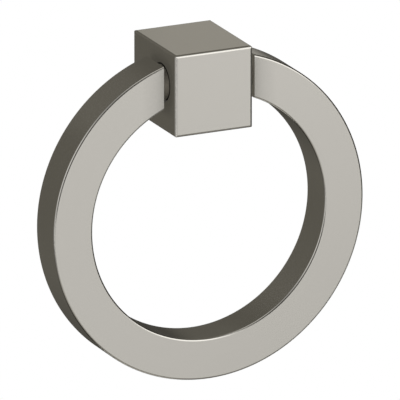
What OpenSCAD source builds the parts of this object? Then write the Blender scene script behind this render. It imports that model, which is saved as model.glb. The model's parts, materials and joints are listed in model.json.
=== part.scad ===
// Ring pull for a drawer or a cupboard door: a flat ring that hangs from a square post.
// The ring is open at the top, and a shouldered pin in each of its ends turns in the post.
// Front is -Y, up is +Z, and the drawer front is the plane y = 0.
// The origin is the middle of the post's back face, at the mouth of its screw hole.

/* [Post] */
// Width of the post, from side to side
post_w = 19.05; // [17:0.05:28]
// Height of the post
post_h = 19.05; // [17:0.05:28]
// Depth of the post, from the drawer front to its own front face
post_d = 22.225; // [21:0.025:32]
// Radius along the post's edges
post_edge = 0.6; // [0.3:0.1:1.5]

/* [Ring] */
// Outer diameter of the ring
ring_od = 76.2; // [66:0.1:110]
// Width of the ring's flat front, from its outer to its inner edge
ring_w = 9.525; // [9:0.025:12]
// Thickness of the ring, from front to back
ring_t = 9.525; // [7:0.025:12]
// Radius along the ring's edges
ring_edge = 0.5; // [0.3:0.1:1]
// Air between each end of the ring and the side of the post
ring_gap = 1.6; // [0.8:0.1:4]

/* [Pivot] */
// Distance of the pivot's axis out from the drawer front
pivot_out = 15; // [14.6:0.1:17]
// Height of the pivot's axis above the middle of the post
pivot_up = 1.5; // [-3:0.1:3]
// Diameter of the collar that shows between the ring and the post
collar_d = 8.3; // [7:0.1:8.6]
// Air around the collar where it enters the post
collar_air = 0.4; // [0.2:0.05:0.8]
// How far the collar reaches into the side of the post
collar_in = 2.2; // [1:0.1:3]
// Diameter of the journal, the part of the pin that turns in the post
journal_d = 4.9; // [4:0.1:6]
// Length of the journal
journal_l = 5; // [3:0.1:5.3]
// Running clearance around the journal
journal_air = 0.05; // [0.03:0.01:0.1]
// Diameter of the shank that is pressed into the ring's end
shank_d = 4; // [3:0.1:5]
// Length of the shank
shank_l = 4.5; // [3:0.1:5]
// Air past the inner end of the collar, the journal and the shank
end_air = 0.3; // [0.2:0.05:0.4]
// Bevel on the tips of the pin
tip_bevel = 0.4; // [0.2:0.05:0.6]

/* [Screw hole] */
// Diameter of the screw hole, at the root of its thread
screw_d = 4.17; // [3.9:0.01:5]
// Length of the threaded stretch
thread_l = 9.5; // [7:0.1:9.8]
// Diameter of the tap drill, which runs on past the thread
drill_d = 3.45; // [3:0.01:3.8]
// How far the tap drill runs on past the thread, before its point
drill_more = 0.7; // [0:0.1:1]
// Angle of the drill's point
drill_point = 118; // [90:1:140]
// Width of the bevel at the hole's mouth
mouth_bevel = 0.4; // [0.2:0.05:0.6]

/* [Hidden] */
$fn = 96;
finish = [0.75, 0.735, 0.7];
pin_finish = [0.62, 0.61, 0.58];
// A cut runs this far past the face that it opens
past = 1;
ring_or = ring_od / 2;
ring_ir = ring_or - ring_w;
// Where the ring's flat ends stand, out from the middle
end_x = post_w / 2 + ring_gap;
// The pin enters each end face half way up
end_mid = (sqrt(pow(ring_or, 2) - pow(end_x, 2)) + sqrt(pow(ring_ir, 2) - pow(end_x, 2))) / 2;
ring_z = pivot_up - end_mid;
// Stations along the pivot's axis, from the middle of the post outwards
recess_x = post_w / 2 - collar_in - end_air;
collar_x = post_w / 2 - collar_in;
journal_x = recess_x + end_air - journal_l;
bore_x = journal_x - end_air;
shank_x = end_x + shank_l;
socket_x = shank_x + end_air;

// A rectangle with round corners, about the origin
module rounded_rectangle(w, h, r) {
    square([w - 2 * r, h], center = true);
    square([w, h - 2 * r], center = true);
    for (x = [-1, 1], y = [-1, 1])
        translate([x * (w / 2 - r), y * (h / 2 - r)])
            circle(r);
}

// A block with all its edges rounded: what three rounded bars have in common
module rounded_block(w, d, h, r) {
    intersection() {
        linear_extrude(height = h, center = true) rounded_rectangle(w, d, r);
        rotate([90, 0, 0]) linear_extrude(height = d, center = true) rounded_rectangle(w, h, r);
        rotate([90, 0, 90]) linear_extrude(height = w, center = true) rounded_rectangle(d, h, r);
    }
}

// Puts what is drawn along +Z from the middle of the post on the pivot's axis, to the side named
module on_pivot(side) {
    translate([0, -pivot_out, pivot_up]) rotate([0, 90 * side, 0]) children();
}

// The stepped hole that a pin turns in
module pivot_hole() {
    translate([0, 0, recess_x])
        cylinder(h = post_w / 2 - recess_x + past, d = collar_d + 2 * collar_air);
    translate([0, 0, bore_x])
        cylinder(h = recess_x - bore_x + past, d = journal_d + 2 * journal_air);
}

// The blind screw hole, from its bevelled mouth to the drill's point
module screw_hole() {
    drill_l = thread_l + drill_more;
    rotate([90, 0, 0]) rotate_extrude()
        polygon([
            [0, -past],
            [screw_d / 2 + mouth_bevel + past, -past],
            [screw_d / 2, mouth_bevel],
            [screw_d / 2, thread_l],
            [drill_d / 2, thread_l],
            [drill_d / 2, drill_l],
            [0, drill_l + drill_d / 2 / tan(drill_point / 2)],
        ]);
}

// The square post, which is drilled for the screw and for both pins
module post() {
    color(finish) difference() {
        translate([0, -post_d / 2, 0]) rounded_block(post_w, post_d, post_h, post_edge);
        screw_hole();
        on_pivot(1) pivot_hole();
        on_pivot(-1) pivot_hole();
    }
}

// The ring: a square section turned round its centre, with a gap cut for the post
module ring() {
    color(finish) difference() {
        translate([0, -pivot_out, ring_z]) rotate([90, 0, 0]) rotate_extrude()
            translate([ring_or - ring_w / 2, 0]) rounded_rectangle(ring_w, ring_t, ring_edge);
        translate([-end_x, -pivot_out - ring_t / 2 - past, ring_z])
            cube([2 * end_x, ring_t + 2 * past, ring_or + past]);
        for (side = [-1, 1])
            on_pivot(side) translate([0, 0, end_x - past])
                cylinder(h = socket_x - end_x + past, d = shank_d);
    }
}

// A shouldered pin: journal, collar and shank, turned in one piece
module pivot_pin(side) {
    journal_r = journal_d / 2;
    collar_r = collar_d / 2;
    shank_r = shank_d / 2;
    color(pin_finish) on_pivot(side) rotate_extrude()
        polygon([
            [0, journal_x],
            [journal_r - tip_bevel, journal_x],
            [journal_r, journal_x + tip_bevel],
            [journal_r, collar_x],
            [collar_r, collar_x],
            [collar_r, end_x],
            [shank_r, end_x],
            [shank_r, shank_x - tip_bevel],
            [shank_r - tip_bevel, shank_x],
            [0, shank_x],
        ]);
}

module left_pivot_pin() { pivot_pin(-1); }
module right_pivot_pin() { pivot_pin(1); }

post();
ring();
left_pivot_pin();
right_pivot_pin();
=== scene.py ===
import json
import math

import bmesh
import bpy
from bpy.props import FloatProperty, FloatVectorProperty, IntProperty, PointerProperty
from mathutils import Matrix, Vector


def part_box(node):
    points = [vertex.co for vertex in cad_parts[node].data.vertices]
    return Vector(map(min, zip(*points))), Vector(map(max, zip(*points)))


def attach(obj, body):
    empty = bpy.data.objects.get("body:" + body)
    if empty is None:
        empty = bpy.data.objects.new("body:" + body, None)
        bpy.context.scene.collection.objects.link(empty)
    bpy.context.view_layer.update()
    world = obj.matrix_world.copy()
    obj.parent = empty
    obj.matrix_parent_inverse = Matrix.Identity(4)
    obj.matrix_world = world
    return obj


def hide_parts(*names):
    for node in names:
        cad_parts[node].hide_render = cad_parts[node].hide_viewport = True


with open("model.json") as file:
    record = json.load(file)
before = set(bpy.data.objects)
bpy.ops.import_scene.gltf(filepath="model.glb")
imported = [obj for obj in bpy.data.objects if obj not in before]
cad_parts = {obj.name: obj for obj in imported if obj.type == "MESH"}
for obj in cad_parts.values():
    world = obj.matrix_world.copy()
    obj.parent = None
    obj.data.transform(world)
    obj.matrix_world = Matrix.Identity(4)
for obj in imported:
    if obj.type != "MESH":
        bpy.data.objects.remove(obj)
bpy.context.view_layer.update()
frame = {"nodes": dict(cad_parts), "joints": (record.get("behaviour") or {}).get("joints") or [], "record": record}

bl_info = {
    "name": "Ring pull",
    "version": (1, 0, 0),
    "blender": (4, 5, 0),
    "location": "View3D > Sidebar > Ring pull",
    "description": "Finishes and lights a square-post ring pull in satin nickel",
    "category": "Object",
}

MM = 0.001
TENT_SEGMENTS = 48
DISC_SEGMENTS = 96
SOCKET_SEGMENTS = 48
# Points nearer to each other than this are one point.
SAME_POINT = 0.0001 * MM
# The ring's spin stops this many degrees short of the top, and its ends are then cut flat.
SHORT_OF_TOP = 12
# Two faces that meet at a steeper angle than this have a crisp line between them.
CORNER_ANGLE = math.radians(35)
# A Mix node's colour sockets share their names with others, so they go by number.
COLOUR_A, COLOUR_B, MIXED_COLOUR = 6, 7, 2


def linear(hex_colour):
    """Turns an sRGB hex colour into linear red, green and blue."""
    channels = [int(hex_colour[i:i + 2], 16) / 255 for i in (1, 3, 5)]
    return tuple(c / 12.92 if c <= 0.04045 else ((c + 0.055) / 1.055) ** 2.4 for c in channels)


def mount(name):
    """The record's mount of that name."""
    return next(m for m in frame["record"]["mounts"] if m["name"] == name)


# The ring's centre and size come from its own box: its widest is across the middle.
RING_LOW, RING_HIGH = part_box("ring")
RING_HALF = (RING_HIGH.x - RING_LOW.x) / 2
RING_CENTRE = Vector((0, (RING_LOW.y + RING_HIGH.y) / 2, RING_LOW.z + RING_HALF))
# A hair is taken off, so that rounding in the spin can't take the ring outside the CAD's box.
HAIR = 0.0002 * MM
RING_RADIUS = RING_HALF - HAIR
RING_SECTION = RING_HIGH.y - RING_LOW.y
POST_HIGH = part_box("post")[1]
PIVOT = Vector(frame["joints"][0]["pos_m"])
SCREW_HOLE = mount("screw_hole")["dims"]
SCREW_HOLE_RADIUS = SCREW_HOLE["r_mm"] * MM
# Where the post's metal is bare and painted dark as shade: in the bearings, whose mouths have this radius,
# and in the screw hole, past its drilled point. Both reach a little past the wall, so that they take it in.
HOLE_MARGIN = 0.02 * MM
BEARING_RADIUS = 4.55 * MM + HOLE_MARGIN
DRILL_RADIUS = SCREW_HOLE_RADIUS + HOLE_MARGIN
DRILL_DEPTH = 13 * MM
# How many rays look for a piece that stands close, for the painted shade.
SHADE_SAMPLES = 8
# How much painted shade darkens the metal there, and from how far off.
RING_SHADE_DEPTH = 2.0
RING_SHADE_REACH = 7 * MM
POST_SHADE_DEPTH = 2.5
POST_SHADE_REACH = 3 * MM
PIN_SHADE_DEPTH = 1.3
PIN_SHADE_REACH = 3 * MM
# The share of that painted shade which the post's outside takes. Inside its holes it is 1.
POST_SHADE = 0.35
# The ring's painted contact shade falls on its front and back alone, where its normal's part along Y is more than
# this.
FLAT_FACING = 0.9
# The pins' painted shade fades in over this distance on each side of the hole's mouth.
HOLE_SHADE = 0.05 * MM
# The turned pins are this much rougher than the brushed plate.
TURNED_ROUGHNESS = 0.55
# Brush lines come from a noise that mostly stays between these two, and stir the roughness this much.
NOISE_LOW = 0.3
NOISE_HIGH = 0.7
ROUGHNESS_STIR = 0.01
# The screw hole's thread starts this far in, past the bevel at the mouth, and its flanks lean this much.
THREAD_START = 0.5 * MM
FLANK_ANGLE = math.radians(30)
# The camera sees from its own distance divided by this, to its distance times this.
CLIP_RANGE = 20


class RingPullFinish(bpy.types.PropertyGroup):
    """Colours and textures of the metal."""

    nickel: FloatVectorProperty(
        name="Nickel", description="Colour of the satin nickel plate",
        default=linear("#BDBAB3"), subtype="COLOR", min=0, max=1)
    turned: FloatVectorProperty(
        name="Turned nickel", description="Colour of the plate on the turned pins, a little warmer",
        default=linear("#C2BBAD"), subtype="COLOR", min=0, max=1)
    # Bare metal in the holes, painted near black for the shade deep inside them and on the pins there.
    bore_and_shade: FloatVectorProperty(
        name="Drilled metal", description="Colour inside the drilled holes",
        default=linear("#26231F"), subtype="COLOR", min=0, max=1)
    thread: FloatVectorProperty(
        name="Tapped metal", description="Colour of the screw hole's thread",
        default=linear("#8C857A"), subtype="COLOR", min=0, max=1)
    roughness: FloatProperty(
        name="Roughness", description="Roughness of the satin plate",
        default=0.2, min=0, max=1, subtype="FACTOR")
    brush_spacing: FloatProperty(
        name="Brush spacing",
        description="Distance between brush lines, drawn coarser than real so that it shows",
        default=0.25 * MM, min=0.02 * MM, unit="LENGTH")
    brush_length: FloatProperty(
        name="Brush length", description="Usual length of a brush line",
        default=9 * MM, min=0.5 * MM, unit="LENGTH")
    brush_depth: FloatProperty(
        name="Brush depth", description="Depth of the brush lines",
        default=0.0008 * MM, min=0, unit="LENGTH")


class RingPullRing(bpy.types.PropertyGroup):
    """The ring's finer sizes. Its main ones come from the frame."""

    edge: FloatProperty(
        name="Edge", description="Radius of the ring's rounded edges",
        default=0.5 * MM, min=0.1 * MM, unit="LENGTH")
    edge_steps: IntProperty(
        name="Edge steps", description="Steps across each rounded edge", default=8, min=2)
    turn_steps: IntProperty(
        name="Turn steps", description="Steps in a full turn of the ring", default=256, min=32)
    gap: FloatProperty(
        name="Gap", description="Air between each end of the ring and the post's side",
        default=1.6 * MM, min=0.2 * MM, unit="LENGTH")
    socket: FloatProperty(
        name="Socket", description="Diameter of the hole in each end, which the pin is pressed into",
        default=4 * MM, min=1 * MM, unit="LENGTH")
    socket_depth: FloatProperty(
        name="Socket depth", description="Depth of the hole in each end",
        default=4.8 * MM, min=1 * MM, unit="LENGTH")


class RingPullThread(bpy.types.PropertyGroup):
    """The screw hole's thread."""

    pitch: FloatProperty(
        name="Pitch", description="Distance from one turn to the next: 32 turns to the inch",
        default=25.4 / 32 * MM, min=0.3 * MM, unit="LENGTH")
    depth: FloatProperty(
        name="Depth", description="How far the ridges stand in from the hole's wall",
        default=0.35 * MM, min=0.1 * MM, unit="LENGTH")
    root: FloatProperty(
        name="Root", description="Share of the pitch that a ridge covers at the wall",
        default=0.875, min=0.5, max=1, subtype="FACTOR")
    steps: IntProperty(
        name="Steps", description="Steps in each turn", default=36, min=12)


class RingPullStudio(bpy.types.PropertyGroup):
    """Camera, lights and floor."""

    azimuth: FloatProperty(
        name="Azimuth", description="Camera's angle to the left of straight ahead",
        default=math.radians(24.95), subtype="ANGLE")
    elevation: FloatProperty(
        name="Elevation", description="Camera's angle above the horizon",
        default=math.radians(17.73), subtype="ANGLE")
    distance: FloatProperty(
        name="Distance", description="From the camera to the point that it aims at",
        default=3.24, min=0.2, unit="LENGTH")
    aim: FloatVectorProperty(
        name="Aim", description="The point at the picture's centre",
        default=(-0.095 * MM, -15.01 * MM, -27.29 * MM), subtype="TRANSLATION")
    field: FloatProperty(
        name="Field", description="Width that the picture takes in at the aim",
        default=89.37 * MM, min=1 * MM, unit="LENGTH")
    floor_drop: FloatProperty(
        name="Floor drop", description="Height of the pull's origin above the floor",
        default=0.85, min=0.08, unit="LENGTH")
    floor_radius: FloatProperty(
        name="Floor radius", description="Radius of the round floor",
        default=0.25, min=0.1, unit="LENGTH")
    floor: FloatVectorProperty(
        name="Floor paint", description="Colour of the pale floor",
        default=linear("#F2F1EE"), subtype="COLOR", min=0, max=1)
    floor_glow: FloatProperty(
        name="Floor glow", description="Glow of the floor where it is looked at, beside the tent's light",
        default=0.6, min=0, max=1)
    tent_radius: FloatProperty(
        name="Tent radius", description="Radius of the light tent round the pull",
        default=0.9, min=0.55, unit="LENGTH")


def add_node(tree, kind, links=(), **settings):
    """Adds a node. links pairs an input with the socket or the value that it takes, and settings are
    the node's own."""
    node = tree.nodes.new(kind)
    for name, value in settings.items():
        setattr(node, name, value)
    for name, value in links:
        if isinstance(value, bpy.types.NodeSocket):
            tree.links.new(value, node.inputs[name])
        else:
            node.inputs[name].default_value = value
    return node


def new_material(name):
    """An empty node material, and its tree."""
    material = bpy.data.materials.new(name)
    material.use_nodes = True
    material.node_tree.nodes.clear()
    return material, material.node_tree


def brush_lines(tree, across, along, depth_axis, finish):
    """Brush lines from three coordinates in metres: fine across, long along. Gives 0 to 1."""
    scaled = [
        add_node(tree, "ShaderNodeMath", [(0, value), (1, size)], operation="DIVIDE").outputs[0]
        for value, size in (
            (across, finish.brush_spacing),
            (along, finish.brush_length),
            (depth_axis, finish.brush_spacing),
        )
    ]
    place = add_node(tree, "ShaderNodeCombineXYZ", list(enumerate(scaled))).outputs[0]
    return add_node(
        tree, "ShaderNodeTexNoise", [("Vector", place), ("Scale", 1.0), ("Detail", 2.0)],
    ).outputs["Fac"]


def contact_shade(tree, colour, strength, reach, depth):
    """Darkens a colour where another piece stands within reach. Strength is 0 where it has no effect,
    and depth deepens it."""
    room = add_node(
        tree, "ShaderNodeAmbientOcclusion", [("Distance", reach)], samples=SHADE_SAMPLES).outputs["AO"]
    left = add_node(tree, "ShaderNodeMath", [(0, room), (1, depth)], operation="POWER").outputs[0]
    lit = add_node(
        tree, "ShaderNodeMix", [("Factor", strength), ("A", 1.0), ("B", left)]).outputs["Result"]
    return add_node(
        tree, "ShaderNodeMix", [("Factor", lit), (COLOUR_A, (0, 0, 0, 1)), (COLOUR_B, colour)],
        data_type="RGBA").outputs[MIXED_COLOUR]


def metal_surface(tree, finish, lines, colour, extra_roughness=0.0):
    """The plated metal: brush lines stir its roughness and its surface a little."""
    roughness = finish.roughness + extra_roughness
    rough = add_node(
        tree, "ShaderNodeMapRange",
        [("Value", lines), ("From Min", NOISE_LOW), ("From Max", NOISE_HIGH),
         ("To Min", roughness - ROUGHNESS_STIR), ("To Max", roughness + ROUGHNESS_STIR)])
    bump = add_node(
        tree, "ShaderNodeBump", [("Height", lines), ("Distance", finish.brush_depth), ("Strength", 1.0)])
    surface = add_node(
        tree, "ShaderNodeBsdfPrincipled",
        [("Base Color", colour), ("Metallic", 1.0), ("Roughness", rough.outputs[0]),
         ("Normal", bump.outputs[0])])
    add_node(tree, "ShaderNodeOutputMaterial", [("Surface", surface.outputs[0])])


def ring_nickel(finish):
    """Satin nickel plate on brass, brushed round the ring. The eye gets soft reflections that are
    drawn out a little across the lines."""
    material, tree = new_material("satin_nickel_brushed_round")
    coordinates = add_node(tree, "ShaderNodeTexCoord").outputs
    centred = add_node(
        tree, "ShaderNodeVectorMath", [(0, coordinates["Object"]), (1, RING_CENTRE)],
        operation="SUBTRACT").outputs[0]
    axes = add_node(tree, "ShaderNodeSeparateXYZ", [(0, centred)]).outputs
    flat = add_node(tree, "ShaderNodeCombineXYZ", [("X", axes["X"]), ("Z", axes["Z"])]).outputs[0]
    radius = add_node(tree, "ShaderNodeVectorMath", [(0, flat)], operation="LENGTH").outputs["Value"]
    down = add_node(tree, "ShaderNodeMath", [(0, axes["Z"]), (1, -1.0)], operation="MULTIPLY").outputs[0]
    angle = add_node(tree, "ShaderNodeMath", [(0, axes["X"]), (1, down)], operation="ARCTAN2").outputs[0]
    arc = add_node(tree, "ShaderNodeMath", [(0, angle), (1, RING_RADIUS)], operation="MULTIPLY").outputs[0]
    lines = brush_lines(tree, radius, arc, axes["Y"], finish)
    facing = add_node(tree, "ShaderNodeSeparateXYZ", [(0, coordinates["Normal"])]).outputs
    straight = add_node(tree, "ShaderNodeMath", [(0, facing["Y"])], operation="ABSOLUTE").outputs[0]
    shade_on_flat = add_node(
        tree, "ShaderNodeMapRange", [("Value", straight), ("From Min", FLAT_FACING)]).outputs[0]
    # Painted shade: the ring's front and back are darkened where the post stands close.
    shaded = contact_shade(
        tree, (*finish.nickel, 1), shade_on_flat, RING_SHADE_REACH, RING_SHADE_DEPTH)
    metal_surface(tree, finish, lines, shaded)
    return material


def in_bore(tree, place, axis, point, radius, depth):
    """1 within the radius of an axis through a point, and no further along it than the depth."""
    offset = add_node(
        tree, "ShaderNodeVectorMath", [(0, place), (1, point)], operation="SUBTRACT").outputs[0]
    along = add_node(
        tree, "ShaderNodeVectorMath", [(0, offset), (1, axis)], operation="DOT_PRODUCT").outputs["Value"]
    across = add_node(
        tree, "ShaderNodeVectorMath", [(0, offset), (1, Vector((1, 1, 1)) - axis)],
        operation="MULTIPLY").outputs[0]
    away = add_node(tree, "ShaderNodeVectorMath", [(0, across)], operation="LENGTH").outputs["Value"]
    beside = add_node(
        tree, "ShaderNodeMath", [(0, away), (1, radius)], operation="LESS_THAN").outputs[0]
    far = add_node(tree, "ShaderNodeMath", [(0, along)], operation="ABSOLUTE").outputs[0]
    short = add_node(tree, "ShaderNodeMath", [(0, far), (1, depth)], operation="LESS_THAN").outputs[0]
    return add_node(tree, "ShaderNodeMath", [(0, beside), (1, short)], operation="MULTIPLY").outputs[0]


def post_nickel(finish):
    """Satin nickel plate on brass, brushed across the front and from front to back on the sides. Its
    drilled holes are bare metal, painted near black as shade."""
    material, tree = new_material("satin_nickel_brushed_straight")
    coordinates = add_node(tree, "ShaderNodeTexCoord").outputs
    place = add_node(tree, "ShaderNodeSeparateXYZ", [(0, coordinates["Object"])]).outputs
    facing = add_node(tree, "ShaderNodeSeparateXYZ", [(0, coordinates["Normal"])]).outputs
    on_front = add_node(tree, "ShaderNodeMath", [(0, facing["Y"])], operation="ABSOLUTE").outputs[0]
    front = brush_lines(tree, place["Z"], place["X"], place["Y"], finish)
    sides = brush_lines(tree, place["Z"], place["Y"], place["X"], finish)
    lines = add_node(
        tree, "ShaderNodeMix", [("Factor", on_front), ("A", sides), ("B", front)]).outputs["Result"]
    bearings = in_bore(
        tree, coordinates["Object"], Vector((1, 0, 0)), PIVOT, BEARING_RADIUS, POST_HIGH.x)
    screw_hole = in_bore(
        tree, coordinates["Object"], Vector((0, 1, 0)), Vector(), DRILL_RADIUS, DRILL_DEPTH)
    drilled = add_node(
        tree, "ShaderNodeMath", [(0, bearings), (1, screw_hole)], operation="MAXIMUM").outputs[0]
    colour = add_node(
        tree, "ShaderNodeMix",
        [("Factor", drilled), (COLOUR_A, (*finish.nickel, 1)), (COLOUR_B, (*finish.bore_and_shade, 1))],
        data_type="RGBA").outputs[MIXED_COLOUR]
    # Painted shade: the post darkens where another piece stands close, fully so inside its holes.
    strength = add_node(
        tree, "ShaderNodeMapRange", [("Value", drilled), ("To Min", POST_SHADE)]).outputs[0]
    shaded = contact_shade(tree, colour, strength, POST_SHADE_REACH, POST_SHADE_DEPTH)
    metal_surface(tree, finish, lines, shaded)
    return material


def turned_nickel(finish):
    """Nickel plate on a turned pin. The lathe left fine rings round its axis. In the hole of the post
    it is painted dark as shade, which sets the hole's rim off."""
    material, tree = new_material("nickel_on_turned_pin")
    place = add_node(tree, "ShaderNodeTexCoord").outputs["Object"]
    axes = add_node(tree, "ShaderNodeSeparateXYZ", [(0, place)]).outputs
    lines = brush_lines(tree, axes["X"], axes["Y"], axes["X"], finish)
    out = add_node(tree, "ShaderNodeMath", [(0, axes["X"])], operation="ABSOLUTE").outputs[0]
    shaded_in_hole = add_node(
        tree, "ShaderNodeMapRange",
        [("Value", out), ("From Min", POST_HIGH.x + HOLE_SHADE), ("From Max", POST_HIGH.x - HOLE_SHADE)],
    ).outputs[0]
    colour = add_node(
        tree, "ShaderNodeMix",
        [("Factor", shaded_in_hole), (COLOUR_A, (*finish.turned, 1)), (COLOUR_B, (*finish.bore_and_shade, 1))],
        data_type="RGBA").outputs[MIXED_COLOUR]
    # Painted shade darkens the pins where another piece stands close.
    shaded = contact_shade(tree, colour, 1.0, PIN_SHADE_REACH, PIN_SHADE_DEPTH)
    metal_surface(tree, finish, lines, shaded, TURNED_ROUGHNESS)
    return material


def cut_thread_metal(finish):
    """The thread's flanks, cut by a tap and plated thinly: a little darker and rougher."""
    material, tree = new_material("tapped_thread")
    place = add_node(tree, "ShaderNodeTexCoord").outputs["Object"]
    axes = add_node(tree, "ShaderNodeSeparateXYZ", [(0, place)]).outputs
    lines = brush_lines(tree, axes["Y"], axes["X"], axes["Z"], finish)
    metal_surface(tree, finish, lines, (*finish.thread, 1))
    return material


def cut_ring_end(ring, side, end, sizes):
    """Cuts one end of the ring flat, where it faces the post, and drills the pin's socket in it."""
    corner = [v for v in ring.verts if v.co.x * side > 0 and v.co.z > RING_CENTRE.z]
    faces = {face for v in corner for face in v.link_faces}
    edges = {edge for face in faces for edge in face.edges}
    verts = {v for face in faces for v in face.verts}
    cut = bmesh.ops.bisect_plane(
        ring, geom=[*verts, *edges, *faces], dist=SAME_POINT, plane_co=(side * end, 0, 0),
        plane_no=(side, 0, 0), clear_inner=True)
    rim = [part for part in cut["geom_cut"] if isinstance(part, bmesh.types.BMEdge)]
    to_socket = Matrix.Translation((side * end, PIVOT.y, PIVOT.z)) @ Matrix.Rotation(math.pi / 2, 4, "Y")
    mouth = bmesh.ops.create_circle(
        ring, cap_ends=False, segments=SOCKET_SEGMENTS, radius=sizes.socket / 2, matrix=to_socket)
    circle = list({edge for v in mouth["verts"] for edge in v.link_edges})
    bmesh.ops.triangle_fill(ring, edges=[*rim, *circle], use_beauty=True, normal=(-side, 0, 0))
    wall = bmesh.ops.extrude_edge_only(ring, edges=circle)["geom"]
    bmesh.ops.translate(
        ring, verts=[part for part in wall if isinstance(part, bmesh.types.BMVert)],
        vec=(side * sizes.socket_depth, 0, 0))
    bottom = [
        part for part in wall if isinstance(part, bmesh.types.BMEdge) and len(part.link_faces) == 1]
    bmesh.ops.contextual_create(ring, geom=bottom)


def ring_shape(sizes):
    """The ring: a square section with rounded edges, spun most of the way round, with flat ends."""
    ring = bmesh.new()
    inner = RING_RADIUS - RING_SECTION
    # The section starts straight below the centre, and is spun to just short of the top both ways.
    section = bmesh.ops.create_grid(
        ring, x_segments=1, y_segments=1, size=RING_SECTION / 2,
        matrix=Matrix.Translation(RING_CENTRE - Vector((0, 0, inner + RING_SECTION / 2)))
        @ Matrix.Rotation(math.pi / 2, 4, "Y"))
    bmesh.ops.bevel(
        ring, geom=section["verts"], offset=sizes.edge, segments=sizes.edge_steps, profile=0.5,
        affect="VERTICES", material=-1)
    outline = list(ring.edges)
    bmesh.ops.delete(ring, geom=list(ring.faces), context="FACES_ONLY")
    steps = int(sizes.turn_steps * (0.5 - SHORT_OF_TOP / 360))
    for turn in (-1, 1):
        bmesh.ops.spin(
            ring, geom=outline, cent=RING_CENTRE, axis=(0, turn, 0), steps=steps,
            angle=2 * math.pi * steps / sizes.turn_steps, use_duplicate=False)
    bmesh.ops.remove_doubles(ring, verts=ring.verts, dist=SAME_POINT)
    end = POST_HIGH.x + sizes.gap
    for side in (-1, 1):
        cut_ring_end(ring, side, end, sizes)
    bmesh.ops.remove_doubles(ring, verts=ring.verts, dist=SAME_POINT)
    bmesh.ops.recalc_face_normals(ring, faces=ring.faces)
    return ring


def thread_ridge(thread):
    """The thread's ridge: a four-cornered profile, wound into the screw hole in one long spin."""
    crest = SCREW_HOLE_RADIUS - thread.depth
    # The flanks lean, so a ridge narrows as it stands further from the wall.
    half_root = thread.root * thread.pitch / 2
    half_crest = half_root - thread.depth * math.tan(FLANK_ANGLE)
    turns = (SCREW_HOLE["length_mm"] * MM - THREAD_START - thread.pitch) / thread.pitch
    steps = int(turns * thread.steps)
    if half_crest <= 0 or steps < thread.steps:
        raise RuntimeError("The thread's ridge has no crest, or the hole is too short for one turn")
    ridge = bmesh.new()
    corners = [
        ridge.verts.new((radius, -THREAD_START - half_root + along, 0))
        for radius, along in (
            (SCREW_HOLE_RADIUS, -half_root), (crest, -half_crest),
            (crest, half_crest), (SCREW_HOLE_RADIUS, half_root))
    ]
    profile = ridge.faces.new(corners)
    # The ridge goes into the hole, away from +Y. Turned about -Y on the way, it is right-handed.
    bmesh.ops.spin(
        ridge, geom=[*corners, *profile.edges, profile], cent=(0, 0, 0), axis=(0, -1, 0),
        dvec=(0, -thread.pitch / thread.steps, 0), angle=2 * math.pi * steps / thread.steps,
        steps=steps, use_merge=False)
    bmesh.ops.recalc_face_normals(ridge, faces=ridge.faces)
    return ridge


def shade_smooth(shape):
    """Smooth shading with a crisp line wherever two faces meet at a real corner."""
    for face in shape.faces:
        face.smooth = True
    for edge in shape.edges:
        edge.smooth = len(edge.link_faces) == 2 and edge.calc_face_angle() < CORNER_ANGLE
    open_edges = [edge for edge in shape.edges if len(edge.link_faces) != 2]
    if open_edges:
        raise RuntimeError(f"The shape isn't closed: {len(open_edges)} open edges")


def new_object(name, shape, material):
    """An object at the origin, made from a bmesh, with one material."""
    mesh = bpy.data.meshes.new(name)
    shape.to_mesh(mesh)
    shape.free()
    if not mesh.polygons:
        raise RuntimeError(f"{name} has no faces")
    mesh.materials.append(material)
    made = bpy.data.objects.new(name, mesh)
    bpy.context.scene.collection.objects.link(made)
    return made


def pull_piece(name, shape, body, material):
    """Makes a piece of the pull from a bmesh. It rides on a body and takes a finish slot."""
    piece = new_object(name, shape, material)
    # The photograph's satin metal shows its surroundings and none of its own parts.
    piece.visible_glossy = False
    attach(piece, body)
    return piece


def finish_node(node, material):
    """Gives a CAD node its finish, and keeps it out of the metal's reflections as the pieces are."""
    slots = frame["nodes"][node].material_slots
    if len(slots) != 1:
        raise RuntimeError(f"{node} has {len(slots)} material slots, and one was expected")
    slots[0].material = material
    frame["nodes"][node].visible_glossy = False


class RINGPULL_OT_finish_post(bpy.types.Operator):
    """Plate the post in brushed satin nickel"""

    bl_idname = "ringpull.finish_post"
    bl_label = "Finish the post"

    def execute(self, context):
        finish_node("post", post_nickel(context.scene.ringpull_finish))
        return {"FINISHED"}


class RINGPULL_OT_make_ring(bpy.types.Operator):
    """Make the ring with finely rounded edges and plate it in satin nickel, brushed round it"""

    bl_idname = "ringpull.make_ring"
    bl_label = "Make the ring"

    def execute(self, context):
        material = ring_nickel(context.scene.ringpull_finish)
        finish_node("ring", material)
        ring = ring_shape(context.scene.ringpull_ring)
        shade_smooth(ring)
        piece = pull_piece("ring_metal", ring, "ring", material)
        # Flat faces keep their true direction up to the rounded edges.
        flat = piece.modifiers.new("flat_faces", "WEIGHTED_NORMAL")
        flat.weight = 100
        flat.keep_sharp = True
        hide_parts("ring")
        return {"FINISHED"}


class RINGPULL_OT_finish_pins(bpy.types.Operator):
    """Plate both turned pins"""

    bl_idname = "ringpull.finish_pins"
    bl_label = "Finish the pins"

    def execute(self, context):
        material = turned_nickel(context.scene.ringpull_finish)
        for node in ("left_pivot_pin", "right_pivot_pin"):
            finish_node(node, material)
        return {"FINISHED"}


class RINGPULL_OT_cut_thread(bpy.types.Operator):
    """Cut the thread's ridges in the screw hole"""

    bl_idname = "ringpull.cut_thread"
    bl_label = "Cut the thread"

    def execute(self, context):
        ridge = thread_ridge(context.scene.ringpull_thread)
        material = cut_thread_metal(context.scene.ringpull_finish)
        pull_piece("screw_thread", ridge, "post", material)
        return {"FINISHED"}


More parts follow.
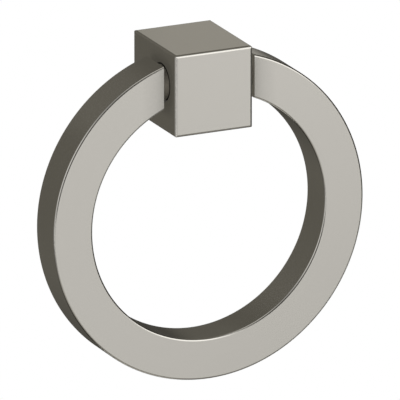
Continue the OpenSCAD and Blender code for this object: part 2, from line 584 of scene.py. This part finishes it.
def aim_camera(studio):
    """The camera stands at the photograph's angle, far off, so its picture is nearly without
    perspective."""
    lens = bpy.data.cameras.new("camera")
    lens.lens = lens.sensor_width * studio.distance / studio.field
    lens.clip_start = studio.distance / CLIP_RANGE
    lens.clip_end = studio.distance * CLIP_RANGE
    back = Vector((
        -math.sin(studio.azimuth) * math.cos(studio.elevation),
        -math.cos(studio.azimuth) * math.cos(studio.elevation),
        math.sin(studio.elevation)))
    camera = bpy.data.objects.new("camera", lens)
    camera.location = Vector(studio.aim) + back * studio.distance
    camera.rotation_euler = (-back).to_track_quat("-Z", "Y").to_euler()
    bpy.context.scene.collection.objects.link(camera)
    bpy.context.scene.camera = camera


# The tent's panels, each laid over the ones before it: a name, its bearing in degrees to the right of
# straight ahead, its height in degrees, its roll, half its width and height in degrees, how soft its edge
# is, and its light. None is an opening, through which the metal shows the white background. Most rows
# began as ovals that a program fitted to the photo's shading, and were then rounded and changed.
PANELS = (
    # Pale cloth overhead and to the left, for the rounded edges on the upper left.
    ("ceiling", -30, 80, 0, 25, 25, 0.4, 0.8),
    ("left wall", -75, 16, -25, 36, 34, 0.8, 1.05),
    # The edges that look down see these three.
    ("low left", -13, -37, 25, 48, 17, 0.3, 0.58),
    ("low right", 95, -38, 10, 45, 16, 0.4, 1.6),
    ("dim, below", 45, -62, 0, 28, 11, 0.4, 0.5),
    # The far edges show black cloth, which draws them as thin dark lines.
    ("black, behind low", 145, -35, 20, 40, 30, 0.3, 0.045),
    ("black, overhead right", 110, 60, 0, 40, 15, 0.3, 0.2),
    # The pull's left faces and the outside of the ring show the dim cloth behind, on the left.
    ("dim, behind left", -147, -8, 30, 45, 32, 0.4, 0.165),
    ("dim, behind left, high", -160, 20, 0, 30, 25, 0.5, 0.17),
    # The top and the ring's lower inside show this strip.
    ("dim, behind right", 157, 17, 30, 50, 8, 0.8, 0.16),
    # The front faces show this opening.
    ("front", 2, -18, 0, 38, 15, 0.4, None),
    # A black strip between the front and the lights above it parts the pale lines along the edges.
    ("black, above the front", -6, 11, 35, 38, 23, 0.2, 0.04),
    # The key is the bright line along the upper front edges.
    ("key", 36, 19, 0, 21, 30, 0.35, 2.05),
    # The edges on the right show this dark cloth.
    ("black, low right", 57, -25, 5, 20, 28, 0.2, 0.08),
    # The small lamp is the pale line down the post's left front edge.
    ("small lamp, left", -38, -17, 0, 8, 6, 0.2, 2.0),
    # Seen nearly edge-on, the rounded edges along the outline pick up a little white from this one.
    ("opening behind the post", 180, 0, 0, 14, 14, 0.2, None),
)
# The light of the cloth between the panels
WALLS = 0.04
# Dim cloth is a little warm, and brightly lit cloth is white.
CLOTH_TINT = (1.055, 1.0, 0.84)
# Small lit cards behind the pull, near it: a name, the centre, the radius in millimetres and the light.
# The post's top shows the first, the ring's outside right of the post shows the second, and its outside
# left of the post shows the third.
CARDS = (
    ("card_over_post", (60, 112, 60), 38, 0.33),
    ("card_beside_post", (93, 112, 16), 26, 0.35),
    ("card_left_of_post", (-46, 112, 60), 60, 0.035),
)
CARD_TINT = (1.03, 1.0, 0.93)


def panel_mask(tree, way, bearing, height, roll, half_width, half_height, soft):
    """1 inside an oval panel that stands in that direction, 0 outside it, faded across its edge."""
    bearing, height, roll, half_width, half_height = (
        math.radians(angle) for angle in (bearing, height, roll, half_width, half_height))
    towards = Vector((
        math.sin(bearing) * math.cos(height), -math.cos(bearing) * math.cos(height), math.sin(height)))
    side = Vector((math.cos(bearing), math.sin(bearing), 0))
    frame_of_panel = Matrix((side, towards.cross(side), towards)).transposed()
    rolled = frame_of_panel @ Matrix.Rotation(roll, 3, "Z")
    local = add_node(
        tree, "ShaderNodeMapping",
        [("Vector", way), ("Rotation", rolled.to_euler()),
         ("Scale", (math.sin(half_width), math.sin(half_height), 1))],
        vector_type="TEXTURE").outputs[0]
    axes = add_node(tree, "ShaderNodeSeparateXYZ", [(0, local)]).outputs
    flat = add_node(tree, "ShaderNodeCombineXYZ", [("X", axes["X"]), ("Y", axes["Y"])]).outputs[0]
    away = add_node(tree, "ShaderNodeVectorMath", [(0, flat)], operation="LENGTH").outputs["Value"]
    inside = add_node(
        tree, "ShaderNodeMapRange",
        [("Value", away), ("From Min", 1 + soft), ("From Max", 1 - soft)],
        interpolation_type="SMOOTHSTEP").outputs[0]
    ahead = add_node(
        tree, "ShaderNodeMath", [(0, axes["Z"]), (1, 0.0)], operation="GREATER_THAN").outputs[0]
    return add_node(tree, "ShaderNodeMath", [(0, inside), (1, ahead)], operation="MULTIPLY").outputs[0]


def light_piece(name, shape, material):
    """Makes a piece of the light from a bmesh. The camera looks through it, and the metal doesn't."""
    piece = new_object(name, shape, material)
    piece.visible_camera = False
    piece.visible_transmission = False
    return piece


def white_background():
    """The world is plain white for every ray, so camera, metal and glass all see the same sheet."""
    world = bpy.data.worlds.new("white_background")
    world.use_nodes = True
    bpy.context.scene.world = world
    world.node_tree.nodes.clear()
    sheet = add_node(world.node_tree, "ShaderNodeBackground", [("Color", (1, 1, 1, 1))]).outputs[0]
    add_node(world.node_tree, "ShaderNodeOutputWorld", [("Surface", sheet)])


def cloth_light(tree, light):
    """The even glow of a piece of cloth."""
    dim = 1 - min(light, 1)
    colour = [light * (1 + (tint - 1) * dim) for tint in CLOTH_TINT]
    return add_node(tree, "ShaderNodeEmission", [("Color", (*colour, 1))]).outputs[0]


def tent_cloth():
    """The light tent's cloth: dim, with soft panels that lamps light from outside, black flags and
    openings. The metal gets its shading from it."""
    material, tree = new_material("light_tent_cloth")
    place = add_node(tree, "ShaderNodeTexCoord").outputs["Object"]
    way = add_node(tree, "ShaderNodeVectorMath", [(0, place)], operation="NORMALIZE").outputs[0]
    shown = cloth_light(tree, WALLS)
    for _, bearing, height, roll, half_width, half_height, soft, light in PANELS:
        inside = panel_mask(tree, way, bearing, height, roll, half_width, half_height, soft)
        if light is None:
            panel = add_node(tree, "ShaderNodeBsdfTransparent").outputs[0]
        else:
            panel = cloth_light(tree, light)
        shown = add_node(tree, "ShaderNodeMixShader", [(0, inside), (1, shown), (2, panel)]).outputs[0]
    add_node(tree, "ShaderNodeOutputMaterial", [("Surface", shown)])
    return material


def floor_paint(studio):
    """Pale matt paint. It takes the pull's shadow, and adds a plain glow where camera, metal or glass
    look at it, so that it passes into the white background. From below it is clear, so that it
    doesn't stand in the way of a view from there."""
    material, tree = new_material("pale_floor_paint")
    path = add_node(tree, "ShaderNodeLightPath").outputs
    looked_at = path["Is Camera Ray"]
    for other in ("Is Glossy Ray", "Is Transmission Ray"):
        looked_at = add_node(
            tree, "ShaderNodeMath", [(0, looked_at), (1, path[other])], operation="MAXIMUM").outputs[0]
    strength = add_node(
        tree, "ShaderNodeMath", [(0, looked_at), (1, studio.floor_glow)], operation="MULTIPLY").outputs[0]
    matt = add_node(tree, "ShaderNodeBsdfDiffuse", [("Color", (*studio.floor, 1))]).outputs[0]
    glow = add_node(
        tree, "ShaderNodeEmission", [("Color", (*studio.floor, 1)), ("Strength", strength)]).outputs[0]
    paint = add_node(tree, "ShaderNodeAddShader", [(0, matt), (1, glow)]).outputs[0]
    clear = add_node(tree, "ShaderNodeBsdfTransparent").outputs[0]
    below = add_node(tree, "ShaderNodeNewGeometry").outputs["Backfacing"]
    shown = add_node(tree, "ShaderNodeMixShader", [(0, below), (1, paint), (2, clear)]).outputs[0]
    add_node(tree, "ShaderNodeOutputMaterial", [("Surface", shown)])
    return material


def raise_tent(studio):
    """The tent is a sphere round the pull."""
    sphere = bmesh.new()
    bmesh.ops.create_uvsphere(
        sphere, u_segments=TENT_SEGMENTS, v_segments=TENT_SEGMENTS // 2, radius=studio.tent_radius)
    light_piece("light_tent", sphere, tent_cloth())


def card_paint(centre, radius, light):
    """A thin white card that a lamp lights evenly, fading towards its edges. It adds its light to what
    is seen through it."""
    material, tree = new_material("lit_white_card")
    place = add_node(tree, "ShaderNodeTexCoord").outputs["Object"]
    offset = add_node(
        tree, "ShaderNodeVectorMath", [(0, place), (1, centre)], operation="SUBTRACT").outputs[0]
    away = add_node(tree, "ShaderNodeVectorMath", [(0, offset)], operation="LENGTH").outputs["Value"]
    glow = add_node(
        tree, "ShaderNodeMapRange",
        [("Value", away), ("From Min", radius), ("From Max", radius / 2), ("To Max", light)],
        interpolation_type="SMOOTHSTEP").outputs[0]
    lit = add_node(
        tree, "ShaderNodeEmission", [("Color", (*CARD_TINT, 1)), ("Strength", glow)]).outputs[0]
    air = add_node(tree, "ShaderNodeBsdfTransparent").outputs[0]
    shown = add_node(tree, "ShaderNodeAddShader", [(0, lit), (1, air)]).outputs[0]
    add_node(tree, "ShaderNodeOutputMaterial", [("Surface", shown)])
    return material


def hang_card(name, centre_mm, radius_mm, light):
    """A small lit card that faces the post. It is near, so that few other faces show it."""
    centre = Vector(centre_mm) * MM
    card = bmesh.new()
    facing = (-centre).to_track_quat("Z", "Y").to_matrix().to_4x4()
    bmesh.ops.create_circle(
        card, cap_ends=True, segments=DISC_SEGMENTS, radius=radius_mm * MM,
        matrix=Matrix.Translation(centre) @ facing)
    piece = light_piece(name, card, card_paint(centre, radius_mm * MM, light))
    piece.visible_shadow = False


def lay_floor(studio):
    """The floor is a disc, well below the photograph's frame."""
    disc = bmesh.new()
    bmesh.ops.create_circle(
        disc, cap_ends=True, segments=DISC_SEGMENTS, radius=studio.floor_radius,
        matrix=Matrix.Translation((0, 0, -studio.floor_drop)))
    bmesh.ops.recalc_face_normals(disc, faces=disc.faces)
    if disc.faces[:][0].normal.z < 0:
        bmesh.ops.reverse_faces(disc, faces=disc.faces)
    new_object("floor", disc, floor_paint(studio))


class RINGPULL_OT_set_stage(bpy.types.Operator):
    """Set up the camera, the studio's light and the floor"""

    bl_idname = "ringpull.set_stage"
    bl_label = "Set the stage"

    def execute(self, context):
        studio = context.scene.ringpull_studio
        aim_camera(studio)
        white_background()
        raise_tent(studio)
        for card in CARDS:
            hang_card(*card)
        lay_floor(studio)
        context.scene.view_settings.view_transform = "Standard"
        return {"FINISHED"}


class RINGPULL_PT_panel(bpy.types.Panel):
    """Lists the steps that finish and light the ring pull"""

    bl_idname = "RINGPULL_PT_panel"
    bl_label = "Ring pull"
    bl_space_type = "VIEW_3D"
    bl_region_type = "UI"
    bl_category = "Ring pull"

    def draw(self, context):
        for group in SETTINGS:
            settings = getattr(context.scene, group)
            box = self.layout.box()
            for name in settings.__annotations__:
                box.prop(settings, name)
        for step in STEPS:
            self.layout.operator(step.bl_idname)


SETTINGS = {
    "ringpull_finish": RingPullFinish,
    "ringpull_ring": RingPullRing,
    "ringpull_thread": RingPullThread,
    "ringpull_studio": RingPullStudio,
}
STEPS = (
    RINGPULL_OT_set_stage,
    RINGPULL_OT_finish_post,
    RINGPULL_OT_make_ring,
    RINGPULL_OT_finish_pins,
    RINGPULL_OT_cut_thread,
)
CLASSES = (*SETTINGS.values(), *STEPS, RINGPULL_PT_panel)


def register():
    """Adds the settings, the steps and the panel to Blender."""
    for kind in CLASSES:
        bpy.utils.register_class(kind)
    for name, kind in SETTINGS.items():
        setattr(bpy.types.Scene, name, PointerProperty(type=kind))


def unregister():
    """Takes them out again."""
    for name in SETTINGS:
        delattr(bpy.types.Scene, name)
    for kind in reversed(CLASSES):
        bpy.utils.unregister_class(kind)


def main():
    """Runs every step in order."""
    register()
    bpy.ops.ringpull.set_stage()
    bpy.ops.ringpull.finish_post()
    bpy.ops.ringpull.make_ring()
    bpy.ops.ringpull.finish_pins()
    bpy.ops.ringpull.cut_thread()


if __name__ == "__main__":
    main()
